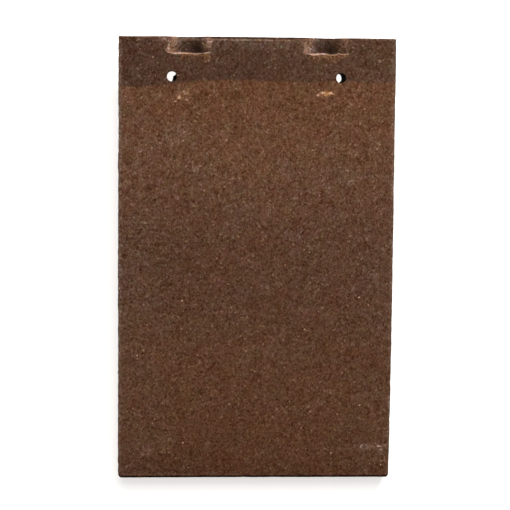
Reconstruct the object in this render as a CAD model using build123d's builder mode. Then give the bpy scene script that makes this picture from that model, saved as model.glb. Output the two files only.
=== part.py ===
from build123d import *
import math
import os

os.makedirs("parts", exist_ok=True)

# Plain clay roof tile, lying face up on a level surface: it touches the surface
# with the tips of its two nibs, at the head (+Y), and with the lower arris of
# its tail (-Y). Millimetres, +X across the tile, +Y towards the head, +Z up,
# origin at the middle of the footprint, on the surface.

# ---- driving dimensions -------------------------------------------------
tile_length = 265.0          # head to tail, straight across the weather face
tile_width = 165.0
tile_thickness = 12.0
camber_radius = 2900.0       # weather face, bent along the length only

arris_radius = 0.8           # every long edge of the slab
tail_corner_radius = 2.0     # the two tail corners, seen from above
head_corner_radius = 0.5     # the two head corners are crisp

nib_spacing = 82.0           # centre to centre
nib_projection = 10.8        # below the underside
nib_root_width = 29.0        # along X, where the nib meets the slab
nib_tip_width = 24.0
nib_root_depth = 11.6        # along Y
nib_tip_depth = 8.6
nib_setback = 2.0            # from the head end to the nib's back
nib_corner_radius = 2.0      # upright edges
nib_tip_radius = 1.2         # edges round the tip
nib_root_radius = 0.9        # hollow corner between nib and underside

mark_spacing = 82.5          # press marks in the face, one above each nib
mark_ledge_from_head = 9.1   # the ledge that closes the mark, from the head end
mark_depth_at_ledge = 4.8
mark_depth_at_head = 2.8
mark_scoop_radius = 18.0     # round floor of the mark
mark_ledge_draft = 16.0      # degrees, the ledge leans back from upright

hole_diameter = 5.8          # nail holes
hole_spacing = 100.4
hole_shift = -0.6            # the pair stands a little left of the middle
hole_from_head = 23.9

# ---- how the bent slab lies ---------------------------------------------
# The two faces are arcs about one centre. The underside is level at the nibs
# and runs down to the tail, whose lower arris rests on the surface.
under_radius = camber_radius - tile_thickness
arris_path = under_radius + arris_radius
rest_angle = math.acos(1 - nib_projection / arris_path)
tail_angle = rest_angle + math.asin(arris_radius / arris_path)
whole_angle = 2 * math.asin(tile_length / 2 / camber_radius)
head_angle = whole_angle - tail_angle

centre_z = arris_radius - arris_path * math.cos(rest_angle)
reach_tail = camber_radius * math.sin(tail_angle)
reach_head = camber_radius * math.sin(head_angle)
centre_y = (reach_tail - reach_head) / 2
head_y = centre_y + reach_head
tail_y = centre_y - reach_tail


def on_arc(radius, angle):
    """Point of the side profile, angle in radians from the top, + to the head."""
    return (centre_y + radius * math.sin(angle), centre_z + radius * math.cos(angle))


def face_height(y):
    """Height of the weather face at y."""
    return centre_z + math.sqrt(camber_radius**2 - (y - centre_y) ** 2)


def under_height(y):
    """Height of the underside at y."""
    return centre_z + math.sqrt(under_radius**2 - (y - centre_y) ** 2)


with BuildPart() as roof_tile:
    # Slab: side profile between the two arcs, with ends square to the face.
    mid_angle = (head_angle - tail_angle) / 2
    with BuildSketch(Plane.YZ) as side:
        with BuildLine():
            face_line = ThreePointArc(
                on_arc(camber_radius, -tail_angle),
                on_arc(camber_radius, mid_angle),
                on_arc(camber_radius, head_angle),
            )
            head_line = Line(face_line @ 1, on_arc(under_radius, head_angle))
            under_line = ThreePointArc(
                head_line @ 1,
                on_arc(under_radius, mid_angle),
                on_arc(under_radius, -tail_angle),
            )
            Line(under_line @ 1, face_line @ 0)
        make_face()
    extrude(amount=tile_width / 2, both=True)

    # Corners of the plan, then the arris all round both faces.
    upright = roof_tile.edges().filter_by(lambda e: e.length < tile_thickness + 0.5)
    upright = upright.filter_by(GeomType.LINE)
    fillet(upright.filter_by(lambda e: e.center().Y < 0), radius=tail_corner_radius)
    upright = roof_tile.edges().filter_by(GeomType.LINE)
    upright = upright.filter_by(lambda e: e.length < tile_thickness + 0.5)
    fillet(upright.filter_by(lambda e: e.center().Y > 0), radius=head_corner_radius)

    faces_of_slab = roof_tile.faces().filter_by(GeomType.CYLINDER).sort_by(SortBy.AREA)
    fillet(faces_of_slab[-1].edges() + faces_of_slab[-2].edges(), radius=arris_radius)

    # Nibs: tapered blocks under the head, their fronts upright to hook a batten.
    nib_back = head_y - nib_setback
    nib_front = nib_back - nib_root_depth
    for side_x in (-1, 1):
        with BuildPart(mode=Mode.PRIVATE) as nib:
            with BuildSketch(Plane.XY.offset(nib_projection)):
                with Locations((side_x * nib_spacing / 2, nib_front + nib_root_depth / 2)):
                    Rectangle(nib_root_width, nib_root_depth)
            with BuildSketch(Plane.XY):
                with Locations((side_x * nib_spacing / 2, nib_front + nib_tip_depth / 2)):
                    Rectangle(nib_tip_width, nib_tip_depth)
            loft()
            tip = nib.faces().sort_by(Axis.Z)[0]
            root = nib.faces().sort_by(Axis.Z)[-1]
            lean = nib.edges() - tip.edges() - root.edges()
            fillet(lean, radius=nib_corner_radius)
            root = nib.faces().sort_by(Axis.Z)[-1]
            extrude(root, amount=2.0)
            tip = nib.faces().sort_by(Axis.Z)[0]
            fillet(tip.edges(), radius=nib_tip_radius)
        add(nib.part)

    # The hollow corner round each nib's root.
    root_edges = roof_tile.edges().filter_by(
        lambda e: abs(e.center().Z - nib_projection) < 0.1
        and nib_front - 0.5 < e.center().Y < nib_back + 0.5
        and abs(abs(e.center().X) - nib_spacing / 2) < nib_root_width / 2 + 0.5
        and e.bounding_box().size.Z < 0.1
    )
    fillet(root_edges, radius=nib_root_radius)

    # Press marks: a round scoop open at the head end, closed by a leaning ledge.
    ledge_y = head_y - mark_ledge_from_head
    scoop_angle = math.degrees(
        math.atan2(mark_depth_at_ledge - mark_depth_at_head, mark_ledge_from_head)
    )
    floor_at_ledge = face_height(ledge_y) - mark_depth_at_ledge
    lean_back = math.tan(math.radians(mark_ledge_draft))
    for side_x in (-1, 1):
        with BuildPart(mode=Mode.PRIVATE) as mark:
            scoop_plane = Plane(
                origin=(side_x * mark_spacing / 2, ledge_y, floor_at_ledge),
                x_dir=(1, 0, 0),
                z_dir=(
                    0,
                    math.cos(math.radians(scoop_angle)),
                    math.sin(math.radians(scoop_angle)),
                ),
            )
            # The plane's own y points down here, so the round's centre is above
            # the floor point at minus the scoop radius.
            with BuildSketch(scoop_plane):
                with Locations((0, -mark_scoop_radius)):
                    Circle(mark_scoop_radius)
            extrude(amount=25.0, both=True)
            # What lies behind the ledge stays clay.
            with BuildSketch(Plane.YZ):
                with BuildLine():
                    low = (ledge_y + 8 * lean_back, floor_at_ledge - 8)
                    high = (ledge_y - 32 * lean_back, floor_at_ledge + 32)
                    Polyline(low, high, (ledge_y - 60, high[1]), (ledge_y - 60, low[1]), low)
                make_face()
            extrude(amount=tile_width, both=True, mode=Mode.SUBTRACT)
        add(mark.part, mode=Mode.SUBTRACT)

    # Nail holes, straight through.
    with Locations(
        (hole_shift - hole_spacing / 2, head_y - hole_from_head, 0),
        (hole_shift + hole_spacing / 2, head_y - hole_from_head, 0),
    ):
        Cylinder(
            hole_diameter / 2,
            80.0,
            mode=Mode.SUBTRACT,
        )

roof_tile.part.label = "roof_tile"
export_step(roof_tile.part, "parts/roof_tile.step")

box = roof_tile.part.bounding_box()
print("roof_tile volume cm3", round(roof_tile.part.volume / 1000, 2))
print("box", [round(v, 3) for v in (*box.min, *box.max)])
print("head_y", round(head_y, 3), "tail_y", round(tail_y, 3), "nib_front", round(nib_front, 3))
print("hole y", round(head_y - hole_from_head, 3),
      "face", round(face_height(head_y - hole_from_head), 3),
      "under", round(under_height(head_y - hole_from_head), 3))
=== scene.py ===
import math

import bpy
import numpy as np
from mathutils import Matrix, Quaternion, Vector


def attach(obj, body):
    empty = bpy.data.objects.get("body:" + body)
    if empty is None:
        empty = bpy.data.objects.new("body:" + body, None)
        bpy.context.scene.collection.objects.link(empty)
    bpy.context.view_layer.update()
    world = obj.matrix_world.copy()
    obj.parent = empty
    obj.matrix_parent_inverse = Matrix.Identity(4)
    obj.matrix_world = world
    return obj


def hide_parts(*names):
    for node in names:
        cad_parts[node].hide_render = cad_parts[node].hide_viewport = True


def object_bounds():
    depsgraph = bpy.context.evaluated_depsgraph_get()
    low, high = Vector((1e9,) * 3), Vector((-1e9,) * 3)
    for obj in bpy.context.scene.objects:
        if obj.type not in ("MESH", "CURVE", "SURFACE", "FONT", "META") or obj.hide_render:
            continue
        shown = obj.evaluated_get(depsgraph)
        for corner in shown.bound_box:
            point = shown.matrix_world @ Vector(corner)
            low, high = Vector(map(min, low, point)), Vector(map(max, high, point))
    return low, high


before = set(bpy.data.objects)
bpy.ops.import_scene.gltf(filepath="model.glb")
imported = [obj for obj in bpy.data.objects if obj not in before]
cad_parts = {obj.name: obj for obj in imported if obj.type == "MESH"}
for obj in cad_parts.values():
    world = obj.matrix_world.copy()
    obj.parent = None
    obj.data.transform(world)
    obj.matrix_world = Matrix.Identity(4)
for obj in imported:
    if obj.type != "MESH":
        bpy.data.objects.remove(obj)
cad_low, cad_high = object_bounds()

# A plain clay roof tile that lies face up: nib tips and the tail's lower arris
# touch the floor. Lengths below are millimetres until the mesh is written.

LENGTH = 265.0
WIDTH = 165.0
THICK = 12.0
CAMBER = 2900.0
ARRIS = 0.8
TAIL_CORNER = 2.0
NIB_HEIGHT = 10.8
NIB_SPACING = 82.0
NIB_ROOT = (29.0, 11.6)
NIB_TIP = (24.0, 8.6)
NIB_SETBACK = 2.0
MARK_SPACING = 82.5
MARK_LEDGE = 9.1
MARK_DEEP = 4.8
MARK_SHALLOW = 2.8
MARK_RADIUS = 18.0
LEDGE_DRAFT = math.radians(16.0)
HOLE_RADIUS = 2.9
HOLE_SPACING = 100.4
HOLE_SHIFT = -0.6
HOLE_FROM_HEAD = 23.9

# How the bent slab lies: same construction as the solid model.
_path = CAMBER - THICK + ARRIS
_rest = math.acos(1 - NIB_HEIGHT / _path)
TAIL_ANGLE = _rest + math.asin(ARRIS / _path)
WHOLE_ANGLE = 2 * math.asin(LENGTH / 2 / CAMBER)
HEAD_ANGLE = WHOLE_ANGLE - TAIL_ANGLE
CENTRE_Z = ARRIS - _path * math.cos(_rest)
CENTRE_Y = CAMBER * (math.sin(TAIL_ANGLE) - math.sin(HEAD_ANGLE)) / 2
RUN = CAMBER * WHOLE_ANGLE          # length of the face along the bend


def bend(flat):
    """Flat coordinates (across, along from the head end, depth below the face) to the row frame."""
    angle = HEAD_ANGLE + flat[:, 1] / CAMBER
    radius = CAMBER - flat[:, 2]
    return np.stack(
        [flat[:, 0], CENTRE_Y + radius * np.sin(angle), CENTRE_Z + radius * np.cos(angle)], 1
    )


# ---- seeded noise ---------------------------------------------------------
def _hash(ix, iy, iz, seed):
    h = (ix * 374761393 + iy * 668265263 + iz * 1442695041 + seed * 2654435761) & 0xFFFFFFFF
    h = ((h ^ (h >> 13)) * 1274126177) & 0xFFFFFFFF
    h = ((h ^ (h >> 15)) * 1103515245 + 12345) & 0xFFFFFFFF
    return h ^ (h >> 16)


def gradient_noise(points, size, seed):
    """Smooth noise, about -1 to 1, with features of the given size. size may be one number or three."""
    p = points / np.asarray(size, float)
    cell = np.floor(p).astype(np.int64)
    f = p - cell
    s = f * f * f * (f * (f * 6 - 15) + 10)
    total = np.zeros(len(p))
    for cx in (0, 1):
        for cy in (0, 1):
            for cz in (0, 1):
                h = _hash(cell[:, 0] + cx, cell[:, 1] + cy, cell[:, 2] + cz, seed)
                gx = (h & 1023) / 511.5 - 1
                gy = ((h >> 10) & 1023) / 511.5 - 1
                gz = ((h >> 20) & 1023) / 511.5 - 1
                d = gx * (f[:, 0] - cx) + gy * (f[:, 1] - cy) + gz * (f[:, 2] - cz)
                w = (
                    (s[:, 0] if cx else 1 - s[:, 0])
                    * (s[:, 1] if cy else 1 - s[:, 1])
                    * (s[:, 2] if cz else 1 - s[:, 2])
                )
                total += w * d
    return total * 1.6


def layered_noise(points, size, seed, octaves=3, gain=0.5):
    size = np.asarray(size, float)
    total, amount, whole = 0, 1.0, 0.0
    for k in range(octaves):
        total = total + amount * gradient_noise(points, size / 2**k, seed + 17 * k)
        whole += amount
        amount *= gain
    return total / whole


def smooth_step(a, b, x):
    t = np.clip((x - a) / (b - a), 0, 1)
    return t * t * (3 - 2 * t)


# ---- shape of the face ----------------------------------------------------
def mark_depth(u, v):
    """Depth of the press marks below the face, their ledges, and the line of face just behind these."""
    depth = np.zeros_like(u)
    wall = np.zeros_like(u)
    lip = np.zeros_like(u)
    # How far each ledge wavers off straight, left mark then right mark.
    wavers = (
        ((-10, -8, -4.7, -2.9, -1, 2.5, 5, 7.7, 9.5, 13), (-0.3, -0.5, -0.05, 0, -0.35, -0.6, -0.85, -0.6, -0.35, -0.1)),
        ((-9, -5, -3.5, -1.9, 0, 1.6, 4.3, 6.9, 8.7, 12.2), (-0.1, 0.18, 0.2, 0, -0.2, -0.7, -0.55, 0.1, -0.35, -0.45)),
    )
    for side, seed, waver in ((-1, 3, wavers[0]), (1, 8, wavers[1])):
        centre = side * MARK_SPACING / 2
        across = u - centre
        line = np.stack([u, np.full_like(u, 5.0 * side), np.zeros_like(u)], 1)
        ledge = -MARK_LEDGE + 0.34 * gradient_noise(line, 8.0, seed) + 0.012 * across * side
        ledge = ledge + 0.10 * gradient_noise(line, 2.6, seed + 5) + 0.55 * np.exp(-((across - 1.5) / 4.5) ** 2)
        ledge = ledge + np.interp(across, *waver)
        inside = np.maximum(v, ledge)
        floor = MARK_SHALLOW + (MARK_DEEP - MARK_SHALLOW) * np.clip(-inside / MARK_LEDGE, 0, 1.2)
        reach = np.abs(across) * (1 - 0.05 * smooth_step(0.0, 6.0, across))
        reach = np.clip(reach, 0, MARK_RADIUS - 0.05)
        scoop = floor - (MARK_RADIUS - np.sqrt(MARK_RADIUS**2 - reach**2))
        scoop = np.where(np.abs(across) > MARK_RADIUS - 0.1, -9.0, scoop)
        # The wall leans back most at the left, where the clay tore.
        steep = 1 / np.tan(LEDGE_DRAFT - np.radians(1.5) + np.radians(7.0) * smooth_step(-2.0, -9.0, across))
        behind = np.maximum(ledge - v, 0)
        cut = scoop - behind * steep
        soft = 0.42
        here = 0.5 * (cut + np.sqrt(cut**2 + soft**2)) - 0.05
        here = np.where(cut > -6, np.maximum(here, 0), 0)
        depth = np.maximum(depth, here)
        wall = np.maximum(
            wall, smooth_step(-0.1, 0.35, behind) * smooth_step(0.0, 0.3, here) * (behind < 3.0)
        )
        lip = np.maximum(lip, np.exp(-(((ledge - v - 0.45) / 0.42) ** 2)) * (np.abs(across) < 14.5))
    return depth, wall, lip


# ---- mesh building blocks -------------------------------------------------
class Skin:
    def __init__(self):
        self.flat, self.kind, self.edge, self.quads, self.tris = [], [], [], [], []
        self.count = 0

    def add(self, points, kind, edge=0.0):
        points = np.asarray(points, float).reshape(-1, 3)
        ids = np.arange(self.count, self.count + len(points))
        self.flat.append(points)
        self.kind.append(np.full(len(points), kind))
        self.edge.append(np.broadcast_to(np.asarray(edge, float), (len(points),)))
        self.count += len(points)
        return ids

    def band(self, first, second):
        """Closed strip between two loops of the same number of points."""
        a, b = np.asarray(first), np.asarray(second)
        self.quads.append(np.stack([a, b, np.roll(b, -1), np.roll(a, -1)], 1))

    def grid(self, ids, up, skip=None):
        a, b, c, d = ids[:-1, :-1], ids[1:, :-1], ids[1:, 1:], ids[:-1, 1:]
        q = np.stack([a, b, c, d] if up else [a, d, c, b], -1)
        if skip is not None:
            q = q[~skip]
        self.quads.append(q.reshape(-1, 4))

    def stitch(self, first, second, t_first, t_second):
        """Closed strip of triangles between two loops of different numbers of points."""
        n, m = len(first), len(second)
        ta = np.append(t_first, 1.0)
        tb = np.append(t_second, 1.0)
        i = j = 0
        made = []
        while i < n or j < m:
            if j >= m or (i < n and ta[i + 1] <= tb[j + 1]):
                made.append((first[i % n], second[j % m], first[(i + 1) % n]))
                i += 1
            else:
                made.append((first[i % n], second[j % m], second[(j + 1) % m]))
                j += 1
        self.tris.append(np.array(made))


def lines(keys, size, exact=None):
    """Grid lines through all the keys, about size apart, or with the exact number of cells given for a span."""
    out = [keys[0]]
    for k, (a, b) in enumerate(zip(keys[:-1], keys[1:])):
        n = (exact or {}).get(k) or max(1, int(round((b - a) / size)))
        out += list(np.linspace(a, b, n + 1)[1:])
    return np.array(out)


def loop_of(i0, i1, j0, j1):
    """Grid indices round a block, anticlockwise seen from above."""
    pairs = [(i, j0) for i in range(i0, i1)]
    pairs += [(i1, j) for j in range(j0, j1)]
    pairs += [(i, j1) for i in range(i1, i0, -1)]
    pairs += [(i0, j) for j in range(j1, j0, -1)]
    return np.array(pairs)


def loop_share(i0, i1, j0, j1):
    """Share of the way round for each point of such a loop, a quarter for each side."""
    a, b = i1 - i0, j1 - j0
    parts = [np.arange(a) / a, np.arange(b) / b, np.arange(a) / a, np.arange(b) / b]
    return np.concatenate([(k + p) / 4 for k, p in enumerate(parts)])


def at(keys, value):
    return int(np.argmin(np.abs(keys - value)))


TOP, WALL, ENDS, UNDER, NIB, BORE = range(6)
skin = Skin()
half = WIDTH / 2
flat_half = half - ARRIS
block = 5.1                                  # half the square round each nail hole
holes = (HOLE_SHIFT - HOLE_SPACING / 2, HOLE_SHIFT + HOLE_SPACING / 2)

# Face grid.
cell = 0.9
u_keys = [-flat_half, holes[0] - block, holes[0] + block, holes[1] - block, holes[1] + block, flat_half]
v_keys = [-RUN + ARRIS, -HOLE_FROM_HEAD - block, -HOLE_FROM_HEAD + block, -12.6, -11.2, -8.2, -7.6, -ARRIS]
top_u = lines(u_keys, cell, {1: 12, 3: 12})
top_v = lines(v_keys, cell, {1: 12, 2: 7, 3: 4, 4: 12, 5: 2, 6: 8})
TU, TV = np.meshgrid(top_u, top_v, indexing="ij")


def outline(u, v):
    """Outward direction in plan at a point of the flat part's border, and the point moved onto the round tail corners."""
    low = -RUN + ARRIS
    inner = TAIL_CORNER - ARRIS
    n = np.zeros((len(u), 2))
    p = np.stack([u, v], 1).astype(float)
    on_side = np.abs(np.abs(u) - flat_half) < 1e-6
    on_end = (np.abs(v - low) < 1e-6) | (np.abs(v + ARRIS) < 1e-6)
    n[on_side, 0] = np.sign(u[on_side])
    n[on_end, 1] = np.where(v[on_end] < low + 1, -1.0, 1.0)
    head_corner = on_side & on_end & (v > -1.5)
    n[head_corner] *= 0.86
    cx = (flat_half - inner) * np.sign(u)
    cy = low + inner
    near = (np.abs(u) > flat_half - inner + 1e-9) & (v < cy - 1e-9)
    d = np.stack([u - cx, v - cy], 1)
    d = d / np.maximum(np.linalg.norm(d, axis=1, keepdims=True), 1e-9)
    n[near] = d[near]
    p[near] = np.stack([cx, np.full_like(cx, cy)], 1)[near] + inner * d[near]
    return p, n


nu, nv = len(top_u) - 1, len(top_v) - 1
border = loop_of(0, nu, 0, nv)
bp, bn = outline(top_u[border[:, 0]], top_v[border[:, 1]])
TU[border[:, 0], border[:, 1]] = bp[:, 0]
TV[border[:, 0], border[:, 1]] = bp[:, 1]
depth = mark_depth(TU.ravel(), TV.ravel())[0]
edge = np.zeros_like(TU)
edge[border[:, 0], border[:, 1]] = 0.55
top_ids = skin.add(np.stack([TU.ravel(), TV.ravel(), depth], 1), TOP, edge.ravel()).reshape(TU.shape)
skip = np.zeros((nu, nv), bool)
top_blocks = []
for hole in holes:
    i0, i1 = at(top_u, hole - block), at(top_u, hole + block)
    j0, j1 = at(top_v, -HOLE_FROM_HEAD - block), at(top_v, -HOLE_FROM_HEAD + block)
    skip[i0:i1, j0:j1] = True
    ring = loop_of(i0, i1, j0, j1)
    top_blocks.append(top_ids[ring[:, 0], ring[:, 1]])
skin.grid(top_ids, True, skip)

# Underside grid.
nib_u = NIB_SPACING / 2
nib_block = (nib_u - 16.3, nib_u + 16.3)
under_keys_u = [-flat_half, -nib_block[1], holes[0] - block, holes[0] + block, -nib_block[0],
                nib_block[0], holes[1] - block, holes[1] + block, nib_block[1], flat_half]
under_keys_v = [-RUN + ARRIS, -HOLE_FROM_HEAD - block, -HOLE_FROM_HEAD + block, -16.0, -ARRIS]
under_u = lines(under_keys_u, 2.1, {1: 2, 2: 12, 3: 20, 5: 20, 6: 12, 7: 2})
under_v = lines(under_keys_v, 2.1, {1: 12, 2: 2, 3: 15})
UU, UV = np.meshgrid(under_u, under_v, indexing="ij")
mu, mv = len(under_u) - 1, len(under_v) - 1
under_border = loop_of(0, mu, 0, mv)
up_, un_ = outline(under_u[under_border[:, 0]], under_v[under_border[:, 1]])
UU[under_border[:, 0], under_border[:, 1]] = up_[:, 0]
UV[under_border[:, 0], under_border[:, 1]] = up_[:, 1]
edge = np.zeros_like(UU)
edge[under_border[:, 0], under_border[:, 1]] = 0.5
under_ids = skin.add(
    np.stack([UU.ravel(), UV.ravel(), np.full(UU.size, THICK)], 1), UNDER, edge.ravel()
).reshape(UU.shape)
skip = np.zeros((mu, mv), bool)
under_blocks, nib_loops = [], []
for side, hole in zip((-1, 1), holes):
    i0, i1 = at(under_u, hole - block), at(under_u, hole + block)
    j0, j1 = at(under_v, -HOLE_FROM_HEAD - block), at(under_v, -HOLE_FROM_HEAD + block)
    skip[i0:i1, j0:j1] = True
    ring = loop_of(i0, i1, j0, j1)
    under_blocks.append(under_ids[ring[:, 0], ring[:, 1]])
    a, b = sorted((side * nib_block[0], side * nib_block[1]))
    i0, i1 = at(under_u, a), at(under_u, b)
    j0, j1 = at(under_v, -16.0), mv
    skip[i0:i1, j0:j1] = True
    ring = loop_of(i0, i1, j0, j1)
    nib_loops.append((side, under_ids[ring[:, 0], ring[:, 1]], i1 - i0, j1 - j0))
skin.grid(under_ids, False, skip)

# Edges and walls, from the face's border down to the underside's border.
border_ids = top_ids[border[:, 0], border[:, 1]]
under_border_ids = under_ids[under_border[:, 0], under_border[:, 1]]
w0 = np.concatenate(skin.flat)[border_ids][:, 2]
is_end = np.abs(bn[:, 1]) > np.abs(bn[:, 0])
previous = border_ids
for step in (30, 60, 90):
    a = math.radians(step)
    out = ARRIS * math.sin(a)
    down = ARRIS * (1 - math.cos(a))
    pts = np.column_stack([bp + bn * out, w0 + down])
    ids = skin.add(pts, WALL, {30: 0.95, 60: 0.85, 90: 0.30}[step])
    skin.kind[-1] = np.where(is_end, ENDS, WALL)
    skin.band(previous, ids)
    previous = ids
stitch_from = 8.9
for k in range(1, 9):
    share = k / 8
    w = (w0 + ARRIS) * (1 - share) + stitch_from * share
    ids = skin.add(np.column_stack([bp + bn * ARRIS, w]), WALL, 0.12 if k == 1 else 0.0)
    skin.kind[-1] = np.where(is_end, ENDS, WALL)
    skin.band(previous, ids)
    previous = ids
under_end = np.abs(un_[:, 1]) > np.abs(un_[:, 0])
rows = []
for w in (9.9, 10.6):
    rows.append((np.column_stack([up_ + un_ * ARRIS, np.full(len(up_), w)]), 0.0))
for step in (90, 60, 30):
    a = math.radians(step)
    rows.append((
        np.column_stack([up_ + un_ * ARRIS * math.sin(a), np.full(len(up_), THICK - ARRIS * (1 - math.cos(a)))]),
        {90: 0.5, 60: 1.0, 30: 0.9}[step],
    ))
first = True
for pts, e in rows:
    ids = skin.add(pts, WALL, e)
    skin.kind[-1] = np.where(under_end, ENDS, WALL)
    if first:
        skin.stitch(previous, ids, loop_share(0, nu, 0, nv), loop_share(0, mu, 0, mv))
        first = False
    else:
        skin.band(previous, ids)
    previous = ids
skin.band(previous, under_border_ids)

# Nail holes: from the square in the face, over a worn lip, down the bore.
for side, hole, top_loop, under_loop in zip((-1, 1), holes, top_blocks, under_blocks):
    so_far = np.concatenate(skin.flat)
    centre = np.array([hole, -HOLE_FROM_HEAD])
    start = so_far[top_loop]
    rel = start[:, :2] - centre
    phi = np.arctan2(rel[:, 1], rel[:, 0])
    round_ = np.column_stack([np.cos(phi), np.sin(phi)])
    lip = 0.2
    # The pins leaned a few degrees, so the far mouths stand nearer the head, the right one also further left.
    lean = np.array([0.0, 0.072] if side < 0 else [-0.125, 0.058])
    radius = HOLE_RADIUS + (0.04 if side < 0 else -0.04)
    previous = top_loop
    for share in (0.3, 0.58, 0.82):
        target = centre + round_ * (radius + lip + 0.05)
        xy = start[:, :2] * (1 - share) + target * share
        ids = skin.add(np.column_stack([xy, start[:, 2] * (1 - share)]), TOP)
        skin.band(ids, previous)
        previous = ids
    for step in (0, 35, 65, 90):
        a = math.radians(step)
        r = radius + lip * (1 - math.sin(a))
        xy = centre + round_ * r
        ids = skin.add(
            np.column_stack([xy, np.full(len(phi), lip * (1 - math.cos(a)))]), TOP if step < 60 else BORE,
            {0: 0.15, 35: 0.4, 65: 0.4, 90: 0.1}[step],
        )
        skin.band(ids, previous)
        previous = ids
    # Clay dragged into the left hole's far mouth by its pin.
    for w in (1.6, 2.9, 4.2, 5.5, 6.8, 8.0, 8.9, 9.6, 10.2, 10.8, 11.3, 11.65):
        if side < 0:
            lobe = 2.2 * smooth_step(math.radians(-98), math.radians(-52), phi)
            lobe = lobe * smooth_step(math.radians(35), math.radians(18), phi)
        else:
            lobe = 0.15 * np.exp(-((phi / 1.2) ** 2))
        ragged = gradient_noise(
            np.column_stack([round_ * 3.2, np.full(len(phi), w * 0.3 + 9 * side)]), 1.3, 71 + side
        )
        swell = smooth_step(7.2, 10.0, np.array(w)) * (1 - 0.75 * smooth_step(11.2, 12.2, np.array(w)))
        r = radius - lobe * swell * (1 + 0.14 * ragged)
        ids = skin.add(np.column_stack([centre + lean * w + round_ * r[:, None], np.full(len(phi), w)]), BORE)
        skin.band(ids, previous)
        previous = ids
    last_r = np.maximum(r, radius - 0.6)
    end = so_far[under_loop]
    target = centre + lean * THICK + round_ * (last_r[:, None] + 0.3)
    ids = skin.add(np.column_stack([target, np.full(len(phi), THICK)]), UNDER, 0.2)
    skin.band(ids, previous)
    previous = ids
    for share in (0.35, 0.7):
        xy = target * (1 - share) + end[:, :2] * share
        ids = skin.add(np.column_stack([xy, np.full(len(phi), THICK)]), UNDER)
        skin.band(ids, previous)
        previous = ids
    skin.band(under_loop, previous)


def nib_ring(side, a, b, width, length, front, radius, w):
    """Rounded rectangle at depth w, with points in the order of loop_of on a grid of a by b cells."""
    ij = loop_of(0, a, 0, b)
    x = (ij[:, 0] / a - 0.5) * width
    y = (ij[:, 1] / b - 0.5) * length
    cx, cy = width / 2 - radius, length / 2 - radius
    near = (np.abs(x) > cx) & (np.abs(y) > cy)
    dx, dy = x - cx * np.sign(x), y - cy * np.sign(y)
    # Points near a corner slide onto its arc.
    reach = np.maximum(np.hypot(dx, dy), 1e-9)
    x = np.where(near, cx * np.sign(x) + dx / reach * radius, x)
    y = np.where(near, cy * np.sign(y) + dy / reach * radius, y)
    return np.column_stack([x + side * nib_u, y + front + length / 2, np.full(len(x), w)])


nib_front = -NIB_SETBACK - NIB_ROOT[1]
for side, loop, a, b in nib_loops:
    so_far = np.concatenate(skin.flat)
    start = so_far[loop]
    flare = 0.9
    previous = loop
    root = nib_ring(side, a, b, NIB_ROOT[0] + 2 * flare, NIB_ROOT[1] + 2 * flare, nib_front - flare, 2.9, THICK)
    for share in (0.4, 0.75, 1.0):
        pts = start * (1 - share) + root * share
        ids = skin.add(pts, UNDER)
        skin.band(previous, ids)
        previous = ids
    for step in (30, 60, 90):
        ang = math.radians(step)
        out = flare * (1 - math.sin(ang))
        w = THICK + flare * (1 - math.cos(ang))
        pts = nib_ring(side, a, b, NIB_ROOT[0] + 2 * out, NIB_ROOT[1] + 2 * out, nib_front - out, 2.0 + out, w)
        ids = skin.add(pts, NIB, 0.0)
        skin.band(previous, ids)
        previous = ids
    tip_round = 1.2
    levels = np.linspace(THICK + flare, THICK + NIB_HEIGHT - tip_round, 9)[1:]
    for w in levels:
        t = (w - THICK) / NIB_HEIGHT
        size = [NIB_ROOT[k] * (1 - t) + NIB_TIP[k] * t for k in (0, 1)]
        ids = skin.add(nib_ring(side, a, b, size[0], size[1], nib_front, 2.0, w), NIB, 0.0)
        skin.band(previous, ids)
        previous = ids
    for step in (30, 60, 90):
        ang = math.radians(step)
        back = tip_round * (1 - math.cos(ang))
        w = THICK + NIB_HEIGHT - tip_round * (1 - math.sin(ang))
        t = (w - THICK) / NIB_HEIGHT
        size = [NIB_ROOT[k] * (1 - t) + NIB_TIP[k] * t - 2 * back for k in (0, 1)]
        ids = skin.add(
            nib_ring(side, a, b, size[0], size[1], nib_front + back, max(2.0 - back, 0.9), w), NIB,
            {30: 0.6, 60: 0.9, 90: 0.5}[step],
        )
        skin.band(previous, ids)
        previous = ids
    # Tip, filled from its border.
    rim = np.concatenate(skin.flat)[previous]
    ij = loop_of(0, a, 0, b)
    G = np.zeros((a + 1, b + 1, 3))
    I = np.full((a + 1, b + 1), -1)
    G[ij[:, 0], ij[:, 1]] = rim
    I[ij[:, 0], ij[:, 1]] = previous
    s = (np.arange(a + 1) / a)[:, None, None]
    t = (np.arange(b + 1) / b)[None, :, None]
    fill = (
        (1 - s) * G[:1, :, :] + s * G[-1:, :, :] + (1 - t) * G[:, :1, :] + t * G[:, -1:, :]
        - (1 - s) * (1 - t) * G[0, 0] - s * (1 - t) * G[-1, 0] - (1 - s) * t * G[0, -1] - s * t * G[-1, -1]
    )
    inner = skin.add(fill[1:-1, 1:-1].reshape(-1, 3), NIB)
    I[1:-1, 1:-1] = inner.reshape(a - 1, b - 1)
    skin.grid(I, False)

flat = np.concatenate(skin.flat)
kind = np.concatenate(skin.kind)
edge = np.concatenate(skin.edge).astype(float)
quads = np.concatenate(skin.quads)
tris = np.concatenate(skin.tris)

used = np.zeros(len(flat), bool)
used[quads.ravel()] = True
used[tris.ravel()] = True
remap = np.cumsum(used) - 1
flat, kind, edge = flat[used], kind[used], edge[used]
quads, tris = remap[quads], remap[tris]


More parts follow.
